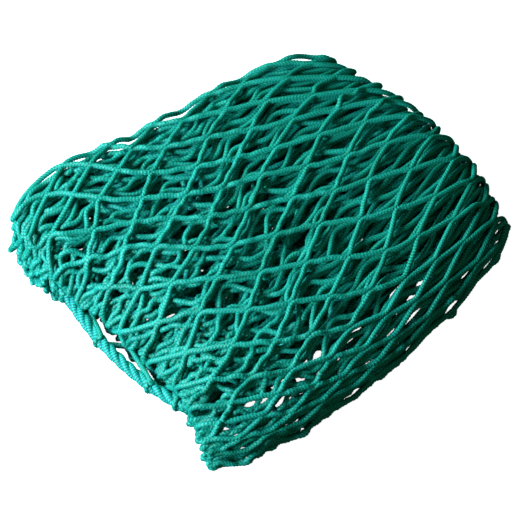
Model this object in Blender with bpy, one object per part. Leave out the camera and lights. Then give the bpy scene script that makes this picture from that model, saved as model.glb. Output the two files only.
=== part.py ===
"""A folded pack of heavy knotless netting with its border rope.

Metres, +Z up. The netting is one panel folded to and fro, so its plies lie one
on another; each ply is its own closed body here, a thin pillow with the pack's
outline. The border rope lies along the -X end, gripped by edge loops of the
netting. The pack rests on z = 0.
"""

import math

import bpy
import numpy as np
from mathutils import Vector

PLIES = 10
PACK_HEIGHT = 0.054  # at the middle of the pack
GAP = 0.0007  # between one ply and the next
TWINE_DIAMETER = 0.0044
ROPE_DIAMETER = 0.0095
ROPE_CENTRE_HEIGHT = 0.0109
AROUND = 60  # points round a ply
RINGS = (0.0, 0.32, 0.56, 0.72, 0.84, 1.0)  # where a ply's rings lie, centre to rim
RIM_ROUND = 0.0012

NET_COLOUR = (0.02, 0.40, 0.31, 1.0)
ROPE_COLOUR = (0.03, 0.46, 0.38, 1.0)

# Corners of the pack's outline, as (x, y, how far the pack thins there).
OUTLINE = (
    (0.157, -0.050, 0.018),
    (0.156, -0.014, 0.016),
    (0.150, 0.030, 0.012),
    (0.139, 0.070, 0.008),
    (0.122, 0.096, 0.007),
    (0.080, 0.108, 0.008),
    (0.030, 0.116, 0.009),
    (-0.030, 0.124, 0.012),
    (-0.085, 0.141, 0.020),
    (-0.124, 0.141, 0.026),
    (-0.146, 0.124, 0.030),
    (-0.147, 0.101, 0.030),
    (-0.136, 0.076, 0.024),
    (-0.129, 0.035, 0.020),
    (-0.130, -0.010, 0.020),
    (-0.134, -0.050, 0.018),
    (-0.150, -0.090, 0.018),
    (-0.157, -0.117, 0.022),
    (-0.128, -0.134, 0.030),
    (-0.080, -0.141, 0.032),
    (0.000, -0.142, 0.034),
    (0.075, -0.132, 0.034),
    (0.120, -0.122, 0.032),
    (0.148, -0.108, 0.027),
    (0.157, -0.083, 0.022),
)
# How far in each ply's rim sits from the pack's outline, as a part of the radius.
RIM_INSET = (0.020, 0.012, 0.0, 0.010, 0.004, 0.014, 0.006, 0.018, 0.010, 0.024)

# The border rope's route, in the plane.
ROPE_ROUTE = (
    (-0.1375, 0.0830),
    (-0.1425, 0.0600),
    (-0.1462, 0.0340),
    (-0.1478, 0.0080),
    (-0.1466, -0.0180),
    (-0.1428, -0.0420),
    (-0.1372, -0.0640),
    (-0.1345, -0.0790),
)
# Where the netting's edge loops grip the rope: y, and how far each reaches in.
EDGE_LOOPS = ((0.060, 0.028), (0.014, 0.030), (-0.040, 0.029), (-0.064, 0.0240))


def clear_scene():
    for thing in list(bpy.data.objects):
        bpy.data.objects.remove(thing, do_unlink=True)


def material(name, colour, rough):
    made = bpy.data.materials.new(name)
    made.use_nodes = True
    shader = made.node_tree.nodes["Principled BSDF"]
    shader.inputs["Base Color"].default_value = colour
    shader.inputs["Roughness"].default_value = rough
    made.diffuse_color = colour
    return made


def closed_spline(corners, steps):
    """A smooth closed curve through the corners (Catmull-Rom)."""
    points = np.array(corners, float)
    made = []
    for i in range(len(points)):
        a, b, c, d = (points[(i + k) % len(points)] for k in (-1, 0, 1, 2))
        for t in np.arange(steps) / steps:
            made.append(
                0.5
                * (
                    2 * b
                    + (c - a) * t
                    + (2 * a - 5 * b + 4 * c - d) * t**2
                    + (3 * b - a - 3 * c + d) * t**3
                )
            )
    return np.array(made)


def open_spline(corners, steps):
    points = np.array(corners, float)
    padded = np.vstack([2 * points[0] - points[1], points, 2 * points[-1] - points[-2]])
    made = []
    for i in range(1, len(padded) - 2):
        a, b, c, d = padded[i - 1 : i + 3]
        for t in np.arange(steps) / steps:
            made.append(
                0.5
                * (
                    2 * b
                    + (c - a) * t
                    + (2 * a - 5 * b + 4 * c - d) * t**2
                    + (3 * b - a - 3 * c + d) * t**3
                )
            )
    made.append(points[-1])
    return np.array(made)


def rays():
    """The outline's radius and thinning at evenly spaced angles round the pack."""
    curve = closed_spline(OUTLINE, 12)
    angle = np.arctan2(curve[:, 1], curve[:, 0])
    order = np.argsort(angle)
    angle, curve = angle[order], curve[order]
    at = -math.pi + 2 * math.pi * np.arange(AROUND) / AROUND
    radius = np.interp(at, angle, np.hypot(curve[:, 0], curve[:, 1]), period=2 * math.pi)
    thins = np.interp(at, angle, curve[:, 2], period=2 * math.pi)
    return at, radius, thins


def rim_share(ply, at):
    """Where this ply's rim lies on each ray. The two lowest plies leave room for the rope."""
    share = np.full(len(at), 1.0 - RIM_INSET[ply])
    share -= 0.012 * (0.5 + 0.5 * np.sin(3 * at + 1.9 * ply))
    if ply < 6:
        beside_rope = np.clip((np.cos(at - math.radians(176)) - 0.62) / 0.12, 0, 1)
        share = np.minimum(share, 1.0 - 0.15 * beside_rope)
    if ply > 6:
        front = np.clip((np.cos(at - math.radians(-92)) - 0.5) / 0.3, 0, 1)
        share -= 0.012 * (ply - 6) * front
    return np.clip(share, 0.845, 1.0)


def ply_mesh(ply, at, radius, thins):
    """The two faces of a ply share the pack's height, so no ply meets its neighbour."""
    share = rim_share(ply, at)

    def heights(ring):
        return PACK_HEIGHT - thins * ring**3.2

    def layer(level, lift, pull):
        rows = []
        for ring in RINGS[1:]:
            if ring < 1.0:
                xy = np.c_[np.cos(at), np.sin(at)] * (radius * ring)[:, None]
                height = heights(ring)
            else:
                along = (share - RINGS[-2]) / (1.0 - RINGS[-2])
                height = heights(RINGS[-2]) * (1 - along) + heights(1.0) * along
                reach = radius * share - pull
                xy = np.c_[np.cos(at), np.sin(at)] * reach[:, None]
            rows.append(np.c_[xy, height * level / PLIES + lift])
        return rows

    bottom = layer(ply, GAP / 2 if ply else 0.0, RIM_ROUND)
    top = layer(ply + 1, -GAP / 2 if ply < PLIES - 1 else 0.0, RIM_ROUND)
    middle = (bottom[-1] + top[-1]) / 2
    middle[:, :2] *= (1 + RIM_ROUND / np.hypot(middle[:, 0], middle[:, 1]))[:, None]
    centre_low = np.array([[0, 0, PACK_HEIGHT * ply / PLIES + (GAP / 2 if ply else 0)]])
    centre_high = np.array(
        [[0, 0, PACK_HEIGHT * (ply + 1) / PLIES - (GAP / 2 if ply < PLIES - 1 else 0)]]
    )
    points = np.vstack([centre_low, *bottom, middle, *top[::-1], centre_high])
    faces = []
    rows = 2 * len(bottom) + 1
    for j in range(AROUND):
        k = (j + 1) % AROUND
        faces.append((0, 1 + k, 1 + j))
        last = 1 + (rows - 1) * AROUND
        faces.append((last + j, last + k, 1 + rows * AROUND))
        for row in range(rows - 1):
            a, b = 1 + row * AROUND, 1 + (row + 1) * AROUND
            if row < len(bottom) - 1:
                faces.append((a + j, a + k, b + j))
                faces.append((a + k, b + k, b + j))
            elif row < len(bottom) + 1:
                faces.append((a + j, a + k, b + k, b + j))
            else:
                faces.append((a + j, a + k, b + j))
                faces.append((a + k, b + k, b + j))
    return points, faces


def add_ply(ply, at, radius, thins, surface):
    points, faces = ply_mesh(ply, at, radius, thins)
    base = Vector((0, 0, PACK_HEIGHT * ply / PLIES))
    mesh = bpy.data.meshes.new(f"netting_ply_{ply + 1:02d}")
    mesh.from_pydata([tuple(Vector(p) - base) for p in points], [], faces)
    mesh.materials.append(surface)
    mesh.validate()
    thing = bpy.data.objects.new(mesh.name, mesh)
    thing.location = base
    bpy.context.collection.objects.link(thing)
    return thing


def add_tube(name, points, diameter, surface, cyclic=False, sides=3):
    curve = bpy.data.curves.new(name, "CURVE")
    curve.dimensions = "3D"
    curve.bevel_depth = diameter / 2
    curve.bevel_resolution = sides
    curve.use_fill_caps = not cyclic
    curve.twist_mode = "Z_UP" if cyclic else "MINIMUM"
    spline = curve.splines.new("POLY")
    spline.points.add(len(points) - 1)
    origin = Vector(points[0])
    for target, point in zip(spline.points, points):
        target.co = (*(Vector(point) - origin), 1)
    spline.use_cyclic_u = cyclic
    curve.materials.append(surface)
    thing = bpy.data.objects.new(name, curve)
    thing.location = origin
    bpy.context.collection.objects.link(thing)
    return thing


def rope_x(y):
    route = np.array(ROPE_ROUTE)[::-1]
    return float(np.interp(y, route[:, 1], route[:, 0]))


def add_rope(surface):
    route = open_spline(ROPE_ROUTE, 6)
    return add_tube(
        "border_rope",
        [(x, y, ROPE_CENTRE_HEIGHT) for x, y in route],
        ROPE_DIAMETER,
        surface,
        sides=4,
    )


def add_edge_loop(number, y, reach, surface):
    """A loop of the netting's own twine square round the rope, drawn in towards the pack."""
    slope = (rope_x(y + 0.006) - rope_x(y - 0.006)) / 0.012
    inward = Vector((1, -slope, 0)).normalized()
    centre = Vector((rope_x(y), y, ROPE_CENTRE_HEIGHT))
    up = Vector((0, 0, 1))
    round_rope = ROPE_DIAMETER / 2 + TWINE_DIAMETER / 2 + 0.0006
    tip = TWINE_DIAMETER / 2 + 0.0006
    points = []
    for step in range(9):
        turn = math.radians(90 + 180 * step / 8)
        points.append(
            centre + inward * round_rope * math.cos(turn) + up * round_rope * math.sin(turn)
        )
    for step in range(7):
        turn = math.radians(-90 + 180 * step / 6)
        points.append(
            centre
            + inward * (reach - 0.014 + tip * math.cos(turn))
            + up * tip * math.sin(turn)
        )
    return add_tube(f"edge_loop_{number}", points, TWINE_DIAMETER, surface, cyclic=True)


def main():
    clear_scene()
    at, radius, thins = rays()
    for ply in range(PLIES):
        tint = 0.9 + 0.2 * ply / (PLIES - 1)
        colour = (*(c * tint for c in NET_COLOUR[:3]), 1.0)
        add_ply(ply, at, radius, thins, material(f"netting_{ply + 1:02d}", colour, 0.62))
    add_rope(material("border_rope", ROPE_COLOUR, 0.58))
    for number, (y, reach) in enumerate(EDGE_LOOPS, 1):
        add_edge_loop(number, y, reach, material(f"edge_loop_{number}", NET_COLOUR, 0.6))


main()
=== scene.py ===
"""A folded pack of knotless netting with its border rope, as it lies on a table.

The net is one panel of twines that zigzag along it and are joined where they
meet. It is folded to and fro, doubled over at the +X end, and let settle by a
small rod simulation with contact, gravity and a fixed seed. The settled twines
are then drawn with their braid. Millimetres are used until a mesh is made.
"""

import math

import bpy
import numpy as np
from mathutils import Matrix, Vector


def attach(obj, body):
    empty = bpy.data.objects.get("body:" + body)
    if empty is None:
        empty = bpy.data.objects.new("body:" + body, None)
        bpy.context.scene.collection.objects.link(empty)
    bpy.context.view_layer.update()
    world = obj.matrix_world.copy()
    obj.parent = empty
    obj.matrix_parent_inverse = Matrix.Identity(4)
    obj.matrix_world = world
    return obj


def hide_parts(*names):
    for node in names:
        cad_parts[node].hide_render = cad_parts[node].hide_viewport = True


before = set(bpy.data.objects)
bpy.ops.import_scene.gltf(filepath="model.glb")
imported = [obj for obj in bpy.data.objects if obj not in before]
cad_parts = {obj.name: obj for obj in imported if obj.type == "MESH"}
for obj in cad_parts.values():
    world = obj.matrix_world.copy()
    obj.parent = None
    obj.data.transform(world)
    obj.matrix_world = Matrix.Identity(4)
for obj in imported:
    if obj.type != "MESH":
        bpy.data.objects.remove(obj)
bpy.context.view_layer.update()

MM = 0.001
TAU = 2 * math.pi
TWINE = 4.4  # diameter
PER = 8  # rods in each bar, from one joint to the next
ALONG = 24  # bars along a twine: from the bottom plies' end, round the +X fold, to the top plies' end
ROWS = (22, 37, 34, 37, 34)  # twines in each pair of plies, outermost pair first
PLIES = 2 * len(ROWS)
TOP = PLIES - 1
JOINT = 2.7  # between the two twines' centres where they are fused
ROW_WIDTH = 15.5  # from one row of joints to the next, before they settle
LOWEST = 2.5  # height of the bottom ply before it settles
CORNER = 45  # how far in the corner by the rope's far end is rounded over
PIVOT = 35  # the x at which the askew rows of joints cross their straight ones
PITCH = 5.7  # from ply to ply before they settle
ROPE = 9.5  # diameter
ROPE_HEIGHT = 10.9  # of its centre
ROPE_LAY = 32  # along the rope, one turn of a strand
STRAND = 2.6  # radius
STRAND_OFFSET = 2.2  # of its centre from the rope's
STIFFNESS = 0.3  # how strongly a twine straightens in each round of the settling

# The braid of a twine: its mean radius, the length of a rib along it, and the ribs' depth.
BODY = 2.02
RIB = 2.5
RIB_DEPTH = 0.5
LEAN = 0.8  # how far a rib runs along the twine in each quarter turn, in ribs
# The turn that closes two twines into one mesh end: how far out and how far aside its points lie.
BOW = ((1.2, -1.9), (3.0, -1.3), (3.6, 0.0), (3.0, 1.3), (1.2, 1.9))
UP = np.array([0, 0, 1.0])

# ---------------------------------------------------------------- the layout

# The pack's front and back edges, as (x, y).
FRONT = np.array(
    [(-160, -114), (-152, -118), (-128, -130), (-80, -139), (0, -141)]
    + [(75, -133), (120, -124), (148, -112), (160, -97)],
    float,
)
BACK = np.array(
    [(-158, 84), (-155, 104), (-149, 121), (-136, 133), (-115, 141), (-85, 141)]
    + [(-30, 126), (30, 119), (80, 112), (122, 99), (142, 82), (160, 60)],
    float,
)
# The x of its two ends, at these shares of the way from the front edge to the back.
ACROSS = np.array([0, 0.04, 0.08, 0.13, 0.18, 0.25, 0.5, 0.62, 0.66, 0.74, 0.81, 0.86, 0.93, 1.0])
START = np.array([-146, -147, -143, -139, -137, -131, -132, -132, -137, -140, -147, -151, -150, -142], float)
END = np.array([149, 152, 155, 157, 159, 160, 160, 158, 157, 154, 151, 148, 145, 141], float)
# How far across the outer plies' rows of joints lie: 1 is the back edge, 0 the front.
OUTER_ROWS = np.array(
    [1.02, 0.99, 0.95, 0.90, 0.853, 0.797, 0.745, 0.70, 0.65, 0.59, 0.534, 0.476]
    + [0.418, 0.35, 0.285, 0.22, 0.17, 0.125, 0.088, 0.055, 0.030, 0.012, 0.0]
)
# The folds that each inner pair of plies runs between, on the same scale. The outer pair has its rows.
FOLDS = ((0, 0), (0.0, 0.985), (0.985, 0.19), (0.19, 0.99), (0.99, 0.16))
# How far each pair's ends lie in from the pack's end beside the rope, below and above.
LOWER_SET_BACK = np.array([3, 3, 4, 5, 6.0])
UPPER_SET_BACK = np.array([0, 1, 3, 5, 7.0])
# How far each pair lies in from the pack's +X end.
END_SET_BACK = np.array([0, 2, 5, 8, 11.0])
ROPE_ROUTE = np.array(
    [(-112, 128), (-124, 108), (-137.5, 83), (-142.5, 60), (-146.2, 34), (-147.8, 8)]
    + [(-146.6, -18), (-142.8, -42), (-137.2, -64), (-128, -88), (-114, -106)],
    float,
)
# The border meshes: the y where each goes round the rope, and the joints between them at the pack's edge.
EDGE_LOOPS = (60, 14, -40, -64)
EDGE_JOINTS = np.array([(-142, 80), (-138, 42), (-135, -3), (-133, -51), (-130, -78)], float)


def between(a, b, c, d, t):
    """The smooth curve (Catmull-Rom) from b at t = 0 to c at t = 1, where a comes before and d after."""
    square = (2 * a - 5 * b + 4 * c - d) * t * t
    cube = (3 * b - a - 3 * c + d) * t**3
    return 0.5 * (2 * b + (c - a) * t + square + cube)


def spline(points, steps):
    """A smooth curve through the points, with this many steps from each to the next."""
    p = np.vstack([2 * points[0] - points[1], points, 2 * points[-1] - points[-2]])
    made = []
    for i in range(1, len(p) - 2):
        for t in np.arange(steps) / steps:
            made.append(between(*p[i - 1 : i + 3], t))
    made.append(points[-1])
    return np.array(made)


def wander(rng, scale, count=7):
    """A smooth random field over the pack."""
    k = rng.normal(0, 1, (count, 2)) * TAU / scale
    phase = rng.uniform(0, TAU, count)
    size = rng.normal(0, 1, count) / math.sqrt(count)
    return lambda x, y: sum(a * np.sin(kx * x + ky * y + p) for a, (kx, ky), p in zip(size, k, phase))


def lay_out(rng):
    """The unsettled net: each twine's points, folded to and fro and doubled over. It also gives the ply
    that each point is in, and the number of each pair's first twine."""
    edges = np.concatenate([[0], np.cumsum(ROWS)])
    twines, points = int(edges[-1]), ALONG * PER + 1
    along = np.broadcast_to(np.arange(points) / PER, (twines, points))
    zig = np.abs(along[0] % 2 - 1)
    gap = JOINT / 2 / ROW_WIDTH
    row = np.array([k + gap + (1 - 2 * gap) * (zig if k % 2 == 0 else 1 - zig) for k in range(twines)])
    strip = np.clip(np.searchsorted(edges, row, side="right") - 1, 0, len(ROWS) - 1)
    part = (row - edges[strip]) / (edges[strip + 1] - edges[strip])
    ends = np.array(FOLDS)[strip]
    part = part - 0.35 * np.sin(TAU * part) / TAU  # closer together at the folds
    part = np.where(strip == 1, part * (1 - 0.3 * np.exp(-part / 0.08)), part)  # most of all at the front
    share = ends[..., 0] + (ends[..., 1] - ends[..., 0]) * part
    share = np.where(strip == 0, np.interp(row, np.arange(ROWS[0] + 1), OUTER_ROWS), share)
    within = np.minimum(share, 1)
    low, high = LOWEST + strip * PITCH, LOWEST + (TOP - strip) * PITCH
    radius = (high - low) / 2
    s = along * 2 / ALONG - 1  # from -1 at the bottom plies' end to 1 at the top plies' end
    set_back = np.where(s > 0, UPPER_SET_BACK[strip], LOWER_SET_BACK[strip])
    set_back *= np.interp(within, [0.15, 0.3, 0.7, 0.8], [0.15, 1, 1, 0])
    nested = np.interp(within, [0.74, 0.84], [0, 1]) * np.where(s > 0, 4.5, 1.0) * strip
    start = np.interp(within, ACROSS, START) + set_back + nested
    end = np.interp(within, ACROSS, END) - END_SET_BACK[strip]
    reach = np.minimum(radius, 22.0)  # the fold bulges no further than this
    straight = end - reach - start
    half = straight + math.pi * radius / 2
    # The meshes are drawn out most at the +X fold.
    gone = half * (1 + s * (1.2 - 0.2 * np.abs(s)))
    # Beside the rope the top ply is drawn out too, and its last meshes hang over the pack's end.
    drawn = np.interp(within, [0.06, 0.14, 0.54, 0.68], [0, 1, 1, 0]) * (strip == 0)
    gone += drawn * np.interp(s, [0.42, 0.58, 0.75, 0.92], [0, 8, 20, 28])
    # At the nose its meshes bunch up instead.
    bunched = np.interp(within, [0.84, 0.93], [0, 1]) * (strip == 0)
    gone -= bunched * np.interp(s, [0.5, 0.75, 0.92, 1.0], [0, 16, 22, 6])
    past = np.maximum(gone - 2 * half, 0)
    turn = np.clip((gone - straight) / radius, 0, math.pi)
    back_again = start + np.where(past > 0, -np.minimum(past, 3), 2 * half - gone)
    folding = end - reach + reach * np.sin(turn)
    x = np.where(gone < straight, start + gone, np.where(turn >= math.pi, back_again, folding))
    z = -radius * np.cos(turn)
    # The corner by the rope's far end is rounded over, upper plies down and lower plies up.
    corner = np.interp(within, [0.74, 0.84], [0, 1])
    bend = math.pi / 2 * (1 - np.clip((x - start) / CORNER, 0, 1))
    tuck = np.where(s > 0, 1.0, 0.12) * corner
    rounded = start + radius * (1 - np.sin(bend)) + (CORNER - radius) * (1 - bend * 2 / math.pi) ** 1.5
    x = np.where(x < start + CORNER, x + tuck * (rounded - x), x)
    z = (low + high) / 2 + z * (1 + tuck * (np.cos(bend) - 1))
    front, back = np.interp(x, FRONT[:, 0], FRONT[:, 1]), np.interp(x, BACK[:, 0], BACK[:, 1])
    y = front + within * (back - front)
    upper = turn > math.pi / 2
    which = np.where(upper, TOP - strip, strip)
    for ply in range(PLIES):
        top = ply == TOP
        dx, dy = wander(rng, 120), wander(rng, 120)
        much = 1.5 if top else 5.5
        fade = np.clip((end - x) / 50, 0, 1) * np.clip((x - start) / 40, 0.05, 1) * (which == ply)
        shift, aside = rng.uniform(-14, 14) * (not top), rng.uniform(-6, 6) * (not top)
        inner = np.clip(8 * within * (1 - within), 0, 1)
        x, y = x + fade * inner * (much * dx(x, y) + shift), y + fade * inner * (much * dy(x, y) + aside)
    # The rows of joints run a little askew, and the upper plies lie a little towards the rope.
    across = np.clip(25 * within * (1 - within), 0, 1)
    x = x + across * upper * np.interp(x, [-130, -90, -20, 100, 145], [0, -2, -8, -8, 0])
    by_back, by_fold = np.interp(within, [0.55, 0.75], [0, 1]), np.interp(x, [90, 125, 150], [0, 1, 0])
    x = x - 9 * across * upper * by_back * by_fold
    askew = 0.08 * np.clip(x - PIVOT, -150, 100) * np.interp(x, [-150, -110], [0.2, 1])
    inside = np.interp(within, [0, 0.3, 0.8, 0.97], [0, 1, 1, 0])
    y = y + across * np.where(x > PIVOT, askew, askew * inside)
    # The pack thins towards its edges, most of all along the front.
    dome = 1 - 0.60 * np.exp(-(y - front) / 24)
    dome *= 1 - 0.20 * np.exp(-np.maximum(back - y, 0) / 14)
    ends_thin = np.interp(y, [-120, -80, -40, 55, 80], [0.12, 0.2, 0.70, 0.70, 0.0])
    dome *= 1 - ends_thin * np.exp(-np.maximum(x - start, 0) / 20)
    hang = np.maximum(share - 1, 0) * (back - front)
    z = LOWEST + (z - LOWEST) * dome + np.where(upper, -hang, hang) - 0.6 * np.maximum(past - 3, 0)
    return np.stack([x, y, z], -1), which, edges


# ------------------------------------------------------------- the settling


def neighbours(p, within):
    """The pairs of points that are closer than this, by a sorted grid."""
    cell = ((p - p.min(0) + within) / within).astype(np.int64)
    n = cell.max(0) + 3
    key = (cell[:, 0] * n[1] + cell[:, 1]) * n[2] + cell[:, 2]
    order = np.argsort(key, kind="stable")
    key, found = key[order], []
    for dx in (0, 1):
        for dy in (-1, 0, 1):
            for dz in (-1, 0, 1):
                if (dx, dy, dz) < (0, 0, 0):
                    continue
                step = (dx * n[1] + dy) * n[2] + dz
                first = np.searchsorted(key, key + step, "left") if step else np.arange(len(key)) + 1
                count = np.maximum(np.searchsorted(key, key + step, "right") - first, 0)
                i = np.repeat(np.arange(len(key)), count)
                before = np.cumsum(count) - count
                j = np.arange(count.sum()) + np.repeat(first - before, count)
                i, j = order[i], order[j]
                d = p[i] - p[j]
                near = (d * d).sum(1) < within * within
                found.append(np.stack([i[near], j[near]]))
    return np.concatenate(found, 1)


def settle(pos, rest, rope, rounds, sink, hold):
    """Lets the twines fall and push each other apart, keeping their lengths and joints. They sink this far
    in each round, and are drawn this share of the way back to where they were laid."""
    twines, points, _ = pos.shape
    pos = pos.copy()
    home = pos[..., :2].copy()
    flat = pos.reshape(-1, 3)
    ties = []
    for k in range(twines - 1):
        for m in range(k % 2, ALONG + 1, 2):
            ties.append((k * points + m * PER, (k + 1) * points + m * PER))
    ta, tb = np.array(ties).T
    for turn in range(rounds):
        if turn % 8 == 0:
            # The pairs of points that may touch before the next look, and the points near the rope.
            i, j = neighbours(flat, TWINE + 2.2)
            ki, kj, ci, cj = i // points, j // points, i % points, j % points
            keep = ~((ki == kj) & (abs(ci - cj) <= 2)) & ~((abs(ki - kj) == 1) & (abs(ci - cj) <= 3))
            pi, pj = i[keep], j[keep]
            beside = np.nonzero(flat[:, 0] < rope[:, 0].max() + 16)[0]
        flat[:, 2] -= sink
        # Each rod keeps its length.
        for start in (0, 1, 0, 1):
            a, b = pos[:, start:-1:2], pos[:, start + 1 :: 2]
            n = min(a.shape[1], b.shape[1])
            a, b = a[:, :n], b[:, :n]
            d = b - a
            l = np.sqrt((d * d).sum(-1, keepdims=True)) + 1e-9
            c = d * (0.5 * (l - rest[:, start::2][:, :n, None]) / l)
            a += c
            b -= c
        # Two rods in line resist folding.
        for start in (0, 1, 2, 3):
            a, b = pos[:, start:-2:4], pos[:, start + 2 :: 4]
            n = min(a.shape[1], b.shape[1])
            a, b = a[:, :n], b[:, :n]
            d = b - a
            l = np.sqrt((d * d).sum(-1, keepdims=True)) + 1e-9
            both = (rest[:, start:-1:4] + rest[:, start + 1 :: 4])[:, :n, None]
            c = d * (STIFFNESS * 0.5 * np.minimum(l - both, 0) / l)
            a += c
            b -= c
        # The joints hold neighbouring twines together.
        d = flat[tb] - flat[ta]
        l = np.sqrt((d * d).sum(1)) + 1e-9
        c = d * (0.5 * (l - JOINT) / l)[:, None]
        push = np.zeros_like(flat)
        push[ta] += c
        push[tb] -= c
        flat += push
        # Twines that touch push each other apart.
        d = flat[pj] - flat[pi]
        l2 = (d * d).sum(1)
        hit = l2 < TWINE * TWINE
        hi, hj, l = pi[hit], pj[hit], np.sqrt(l2[hit]) + 1e-9
        c = d[hit] * (0.5 * (TWINE - l) / l)[:, None]
        count = np.bincount(hi, minlength=len(flat)) + np.bincount(hj, minlength=len(flat))
        for axis in range(3):
            f = np.bincount(hj, c[:, axis], len(flat)) - np.bincount(hi, c[:, axis], len(flat))
            flat[:, axis] += f / np.maximum(count * 0.6, 1)
        # The rope and the floor stop them.
        q = flat[beside]
        away = q[:, None, :] - rope[None]
        l2 = (away * away).sum(2)
        w = l2.argmin(1)
        l = np.sqrt(l2[np.arange(len(q)), w]) + 1e-9
        flat[beside] += away[np.arange(len(q)), w] * (np.maximum((TWINE + ROPE) / 2 - l, 0) / l)[:, None]
        np.maximum(flat[:, 2], TWINE / 2, out=flat[:, 2])
        pos[..., :2] += hold * (home - pos[..., :2])
    return pos


# ------------------------------------------------------------- the twines


def refine(lines, step):
    """A smooth curve through each line's points, at about this step. All lines have as many points."""
    n = lines.shape[1]
    length = np.linalg.norm(np.diff(lines, axis=1), axis=2).mean()
    t = np.linspace(0, n - 1, max(int(round((n - 1) * length / step)), 2) + 1)
    i = np.minimum(t.astype(int), n - 2)
    f = (t - i)[None, :, None]
    p = np.concatenate([2 * lines[:, :1] - lines[:, 1:2], lines, 2 * lines[:, -1:] - lines[:, -2:-1]], 1)
    return between(p[:, i], p[:, i + 1], p[:, i + 2], p[:, i + 3], f)


def carried(lines):
    """Two normals carried along each line without twist."""
    t = np.gradient(lines, axis=1)
    t /= np.linalg.norm(t, axis=2, keepdims=True) + 1e-12
    n = np.empty_like(t)
    up = UP + 0.01 * np.array([1.0, 0.3, 0])  # never quite along a twine
    now = up - (t[:, 0] @ up)[:, None] * t[:, 0]
    for i in range(lines.shape[1]):
        now = now - (now * t[:, i]).sum(1, keepdims=True) * t[:, i]
        now /= np.linalg.norm(now, axis=1, keepdims=True) + 1e-12
        n[:, i] = now
    return n, np.cross(t, n)


def braid(turn, lay):
    """A braided twine's ribs, from 0 to 1: they lean one way and then the other round it, in V rows."""
    lean = np.abs((turn / (TAU / 4)) % 2 - 1)
    return 0.5 + 0.5 * np.cos(TAU * (lay + LEAN * lean))


def tubes(lines, radius, sides, step, pitch, depth, rng):
    """Vertices, quads, lay and tone of braided tubes along the lines, with round ends.
    The lay is where a point is in its braid: the cosine and sine round the twine, and the ribs along it.
    The tone is a number from 0 to 1 for each tube."""
    lines = refine(lines, step)
    lines[..., 2] = np.maximum(lines[..., 2], radius)  # none dips into the floor
    count, rings, _ = lines.shape
    n, b = carried(lines)
    lengths = np.linalg.norm(np.diff(lines, axis=1), axis=2)
    along = np.concatenate([np.zeros((count, 1)), np.cumsum(lengths, 1)], 1)
    along = along + rng.uniform(0, pitch, (count, 1))
    spin = rng.uniform(0, TAU, (count, 1)) + along * rng.uniform(-0.012, 0.012, (count, 1))
    around = np.arange(sides) * TAU / sides
    turn, lay = around[None, None] + spin[..., None], along[..., None] / pitch
    r = radius + depth * (braid(turn, lay) ** 0.8 - 0.55)
    for k, f in ((0, 0.45), (1, 0.8), (2, 0.95)):  # the round ends
        r[:, k] *= f
        r[:, -1 - k] *= f
    outward = np.cos(around)[:, None] * n[:, :, None] + np.sin(around)[:, None] * b[:, :, None]
    verts = lines[:, :, None] + r[..., None] * outward
    grid = np.arange(count * rings * sides).reshape(count, rings, sides)
    nxt = np.roll(grid, -1, axis=2)
    faces = [np.stack([grid[:, :-1], nxt[:, :-1], nxt[:, 1:], grid[:, 1:]], -1).reshape(-1, 4)]
    for ring, flip in ((grid[:, 0], True), (grid[:, -1], False)):
        for k in range(sides // 2 - 1):
            quad = np.stack([ring[:, k], ring[:, k + 1], ring[:, sides - 2 - k], ring[:, sides - 1 - k]], -1)
            faces.append(quad[:, ::-1] if flip else quad)
    lays = np.stack([np.cos(turn), np.sin(turn), np.broadcast_to(lay, turn.shape)], -1).reshape(-1, 3)
    tones = np.repeat(rng.uniform(0, 1, count), rings * sides)
    return verts.reshape(-1, 3), np.concatenate(faces), lays, tones


def turned_ends(lines, first, at_start):
    """Where two twines end at a joint, the short turn that closes them into one mesh end."""
    lines = lines if at_start else lines[:, ::-1]
    made = []
    for k in range(len(lines) - 1):
        if (first + k) % 2 == 0:
            a, b = lines[k], lines[k + 1]
            out = a[0] - a[1] + b[0] - b[1]
            out /= np.linalg.norm(out) + 1e-9
            middle = (a[0] + b[0]) / 2
            side = (b[0] - a[0]) / (np.linalg.norm(b[0] - a[0]) + 1e-9)
            bow = [middle + out * f + side * w for f, w in BOW]
            made.append([a[2], a[1], *bow, b[1], b[2]])
    return np.array(made)


def mesh_piece(name, parts, material):
    """One object from all these tubes."""
    verts, faces, lays, tones, base = [], [], [], [], 0
    for v, f, lay, tone in parts:
        verts.append(v)
        faces.append(f + base)
        lays.append(lay)
        tones.append(tone)
        base += len(v)
    mesh = bpy.data.meshes.new(name)
    mesh.from_pydata(np.concatenate(verts) * MM, [], np.concatenate(faces))
    lay_layer = mesh.attributes.new("lay", "FLOAT_VECTOR", "POINT")
    lay_layer.data.foreach_set("vector", np.concatenate(lays).astype(np.float32).ravel())
    tone_layer = mesh.attributes.new("tone", "FLOAT", "POINT")
    tone_layer.data.foreach_set("value", np.concatenate(tones).astype(np.float32))
    mesh.shade_smooth()
    mesh.materials.append(material)
    made = bpy.data.objects.new(name, mesh)
    bpy.context.collection.objects.link(made)
    return made


# ------------------------------------------------------------- materials


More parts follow.
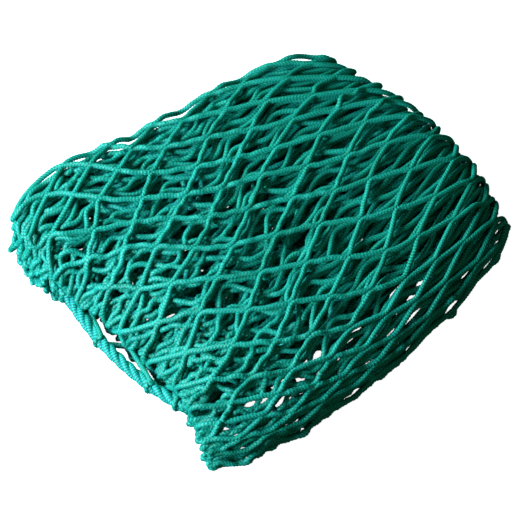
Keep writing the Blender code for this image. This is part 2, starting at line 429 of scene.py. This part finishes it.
def yarn_material(name, dark_tone_and_groove_shade, mid, light_tone_and_crest_highlight, lean, relief):
    """Braided or laid yarn: ribs that follow the lay, fibres, and slow changes of tone. Its colour has
    painted shade in the rib grooves and a painted highlight on the rib crests. The ribs lean this much in
    each quarter turn, and stand this high in metres."""
    made = bpy.data.materials.new(name)
    made.use_nodes = True
    nodes, links = made.node_tree.nodes, made.node_tree.links
    shader = nodes["Principled BSDF"]

    def maths(kind, *values):
        node = nodes.new("ShaderNodeMath")
        node.operation = kind
        for socket, value in zip(node.inputs, values):
            if isinstance(value, (int, float)):
                socket.default_value = value
            else:
                links.new(value, socket)
        return node.outputs[0]

    def noise(scale, detail):
        node = nodes.new("ShaderNodeTexNoise")
        node.inputs["Scale"].default_value = scale
        node.inputs["Detail"].default_value = detail
        links.new(place.outputs["Object"], node.inputs["Vector"])
        return node.outputs["Fac"]

    place = nodes.new("ShaderNodeTexCoord")
    lay = nodes.new("ShaderNodeAttribute")
    lay.attribute_name = "lay"
    tone = nodes.new("ShaderNodeAttribute")
    tone.attribute_name = "tone"
    split = nodes.new("ShaderNodeSeparateXYZ")
    links.new(lay.outputs["Vector"], split.inputs[0])
    turn = maths("MULTIPLY", maths("ARCTAN2", split.outputs[1], split.outputs[0]), 4 / TAU)
    slant = maths("MULTIPLY", maths("PINGPONG", turn, 1.0), lean)
    rib = maths("COSINE", maths("MULTIPLY", maths("ADD", split.outputs[2], slant), TAU))
    rib = maths("MULTIPLY_ADD", rib, 0.5, 0.5)
    fibre = noise(2200.0, 2.0)
    # How light the yarn is: painted shade in the rib grooves and a painted highlight on the rib crests, then
    # its own tone, slow patches and fibres.
    painted_rib_shade_and_tone = maths("MULTIPLY_ADD", rib, 0.52, maths("MULTIPLY", tone.outputs["Fac"], 0.14))
    painted_rib_shade_and_tone = maths("MULTIPLY_ADD", noise(26.0, 3.0), 0.30, painted_rib_shade_and_tone)
    painted_rib_shade_and_tone = maths("MULTIPLY_ADD", fibre, 0.20, painted_rib_shade_and_tone)
    # The ramp's dark end is painted shade in the rib grooves and its light end a painted highlight on the
    # rib crests; both ends also carry the yarn's own darker and lighter tone.
    ramp = nodes.new("ShaderNodeValToRGB")
    first, last = ramp.color_ramp.elements
    first.position, first.color = 0.12, (*dark_tone_and_groove_shade, 1)
    last.position, last.color = 0.98, (*light_tone_and_crest_highlight, 1)
    ramp.color_ramp.elements.new(0.55).color = (*mid, 1)
    links.new(painted_rib_shade_and_tone, ramp.inputs["Fac"])
    links.new(ramp.outputs["Color"], shader.inputs["Base Color"])
    bump = nodes.new("ShaderNodeBump")
    bump.inputs["Strength"].default_value = 0.6
    bump.inputs["Distance"].default_value = relief
    links.new(maths("MULTIPLY_ADD", fibre, 0.4, rib), bump.inputs["Height"])
    links.new(bump.outputs["Normal"], shader.inputs["Normal"])
    links.new(maths("MULTIPLY_ADD", fibre, 0.25, 0.36), shader.inputs["Roughness"])
    shader.inputs["Specular IOR Level"].default_value = 0.4
    shader.inputs["Sheen Weight"].default_value = 0.25
    shader.inputs["Sheen Roughness"].default_value = 0.3
    shader.inputs["Sheen Tint"].default_value = (0.05, 0.85, 1.0, 1)
    return made


# Dark, middle and light colour of each yarn: the dark is painted shade for the rib grooves and the light a
# painted highlight for the rib crests, besides the yarn's own darker and lighter tone.
NET_TONES_AND_PAINTED_SHADE = ((0.0, 0.05, 0.030), (0.0, 0.27, 0.172), (0.025, 0.42, 0.365))
ROPE_TONES_AND_PAINTED_SHADE = ((0.0, 0.04, 0.03), (0.0, 0.22, 0.165), (0.03, 0.55, 0.48))
NET_MATERIAL = yarn_material("netting", *NET_TONES_AND_PAINTED_SHADE, LEAN, 0.00028)
ROPE_MATERIAL = yarn_material("rope", *ROPE_TONES_AND_PAINTED_SHADE, 0.3, 0.0002)

# ------------------------------------------------------------- build


def add(name, parts, material, node):
    """A piece of the visual model that takes the place of this CAD node."""
    piece = mesh_piece(name, parts, material)
    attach(piece, "root")
    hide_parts(node)
    return piece


def build_netting(rng, rope_line):
    """The ten plies: the net is laid out and settled, and each ply's twines are drawn as one piece."""
    net, which, edges = lay_out(rng)
    front_edge = np.interp(net[..., 0], FRONT[:, 0], FRONT[:, 1])
    # The bars' lengths: a little spare in each, most of it inside the pack by the rope, least at the front.
    bars = np.linalg.norm(np.diff(net, axis=1), axis=2).reshape(net.shape[0], ALONG, PER).sum(2)
    middles = slice(PER // 2, None, PER)
    inner = which[:, middles] < TOP
    by_rope = net[:, middles, 0] < -70
    by_front = (net[..., 1] < front_edge + 30)[:, middles]
    uneven = 0.01 - 0.01 * by_front + inner * (0.015 + 0.04 * by_rope)
    slack = np.where(by_front, 0.002, 0.012) + uneven * np.abs(rng.normal(0, 1, bars.shape))
    rest = (np.clip(bars, 20.0, 33.0) * (1 + slack) / PER).repeat(PER, 1)
    # The top ply and the front edge stay close to where they were laid.
    hold = np.where((which == TOP) | (net[..., 1] < front_edge + 14), 0.02, 0.004)[..., None]
    net = settle(net, rest, rope_line, 450, 0.007, hold)
    net = settle(net, rest, rope_line, 150, 0.002, hold / 2)
    half = ALONG * PER // 2
    for ply in range(PLIES):
        under = ply < PLIES // 2
        k = ply if under else TOP - ply
        rows = slice(edges[k], edges[k + 1])
        lines = net[rows, : half + 1] if under else net[rows, half:]
        caps = turned_ends(lines, edges[k], under)
        if ply == TOP:
            sides, step = 12, 0.55
        elif ply in (0, TOP - 2, TOP - 1):
            sides, step = 10, 0.85
        else:
            sides, step = 8, 1.0
        parts = [tubes(group, BODY, sides, step, RIB, RIB_DEPTH, rng) for group in (lines, caps)]
        piece = add(f"net_{ply + 1:02d}", parts, NET_MATERIAL, f"netting_ply_{ply + 1:02d}")


def build_rope(rng, route):
    """The rope: three laid strands along the route. It returns the rope's centre line."""
    centre = refine(np.c_[route, np.full(len(route), ROPE_HEIGHT)][None], 0.7)
    n, b = carried(centre)
    s = np.concatenate([[0], np.cumsum(np.linalg.norm(np.diff(centre[0], axis=0), axis=1))])
    strands = []
    for k in range(3):
        a = TAU * (s / ROPE_LAY + k / 3)
        strands.append(centre[0] + STRAND_OFFSET * (np.cos(a)[:, None] * n[0] + np.sin(a)[:, None] * b[0]))
    laid = tubes(np.array(strands), STRAND, 16, 0.6, 1.9, 0.12, rng)
    piece = add("border_rope_laid", [laid], ROPE_MATERIAL, "border_rope")
    return centre[0]


def build_edge_loops(rng, centre):
    """The border meshes: each twine leaves the pack's edge, goes round the rope and returns to the edge."""
    for number, y in enumerate(EDGE_LOOPS):
        i = int(np.abs(centre[:, 1] - y).argmin())
        tangent = centre[i - 4] - centre[i + 4]
        tangent /= np.linalg.norm(tangent)
        inward = np.cross(UP, tangent)
        inward *= np.sign(inward[0])
        reach = (ROPE + TWINE) / 2 - 2.4  # the twine beds in between the rope's strands
        legs = []
        for joint in (EDGE_JOINTS[number], EDGE_JOINTS[number + 1]):
            tip = np.array([*joint, 8.0])
            legs.append([tip + inward * 6, tip + inward * 1.5])
        round_rope = []
        for a in np.radians(np.linspace(70, 290, 8)):
            out = inward * reach * math.cos(a) + UP * reach * math.sin(a)
            round_rope.append(centre[i] + out + tangent * 0.9 * (math.pi - a))
        line = np.array([*legs[0], *round_rope, *legs[1][::-1]])[None]
        twine = tubes(line, BODY, 12, 0.6, RIB, RIB_DEPTH, rng)
        add(f"edge_mesh_{number + 1}", [twine], NET_MATERIAL, f"edge_loop_{number + 1}")


rng = np.random.default_rng(17)
route = spline(ROPE_ROUTE, 24)
build_netting(rng, np.c_[route, np.full(len(route), ROPE_HEIGHT)][::3])
build_edge_loops(rng, build_rope(rng, route))

# ------------------------------------------------------------- stage

floor = bpy.data.objects.new("floor", bpy.data.meshes.new("floor"))
floor.data.from_pydata([(-3, -3, 0), (3, -3, 0), (3, 3, 0), (-3, 3, 0)], [], [(0, 1, 2, 3)])
bpy.context.collection.objects.link(floor)
white = bpy.data.materials.new("floor")
white.use_nodes = True
paint = white.node_tree.nodes["Principled BSDF"]
paint.inputs["Base Color"].default_value = (0.9, 0.9, 0.9, 1)
paint.inputs["Roughness"].default_value = 0.9
paint.inputs["Emission Color"].default_value = (1, 1, 1, 1)
paint.inputs["Emission Strength"].default_value = 1.0
floor.data.materials.append(white)
floor.visible_diffuse = False
floor.visible_glossy = False

world = bpy.data.worlds.new("studio")
bpy.context.scene.world = world
world.use_nodes = True
background = world.node_tree.nodes["Background"]
background.inputs["Color"].default_value = (0.3, 1.0, 0.78, 1)
background.inputs["Strength"].default_value = 0.025


def lamp(name, place, size, power, colour):
    """A square area lamp, turned to the middle of the pack."""
    light = bpy.data.lights.new(name, "AREA")
    light.size = size
    light.energy = power
    light.color = colour
    made = bpy.data.objects.new(name, light)
    made.location = place
    made.rotation_euler = (Vector((0, 0, 0.03)) - Vector(place)).to_track_quat("-Z", "Y").to_euler()
    bpy.context.collection.objects.link(made)


lamp("key", (-0.95, 0.13, 0.52), 0.30, 20.8, (0.6, 0.9, 1.0))
lamp("side", (-0.42, 0.34, 0.35), 0.25, 2.8, (0.5, 0.6, 1.0))
lamp("back", (-0.1, 0.8, 0.6), 0.4, 8.0, (0.3, 1.0, 0.80))
lamp("fill", (0.3, -1.2, 0.8), 1.2, 1.6, (0.3, 1.0, 0.66))

bpy.context.scene.view_settings.view_transform = "Standard"

# The view: 40 degrees round towards -X and 59 degrees down, from 2.4 m, with 394 mm across the picture.
AZIMUTH, ELEVATION = math.radians(-40.0), math.radians(59.0)
DISTANCE, ACROSS_MM = 2.4, 394.0
level = math.cos(ELEVATION)
back = Vector((math.sin(AZIMUTH) * level, -math.cos(AZIMUTH) * level, math.sin(ELEVATION)))
aim = Vector((-0.008, -0.004, 0.0))
camera = bpy.data.objects.new("camera", bpy.data.cameras.new("camera"))
camera.data.sensor_width = 36
camera.data.lens = 36 * DISTANCE / (ACROSS_MM * MM)
camera.location = aim + back * DISTANCE
camera.rotation_mode = "QUATERNION"
camera.rotation_quaternion = (-back).to_track_quat("-Z", "Y")
camera.data.clip_end = 50
bpy.context.collection.objects.link(camera)
bpy.context.scene.camera = camera
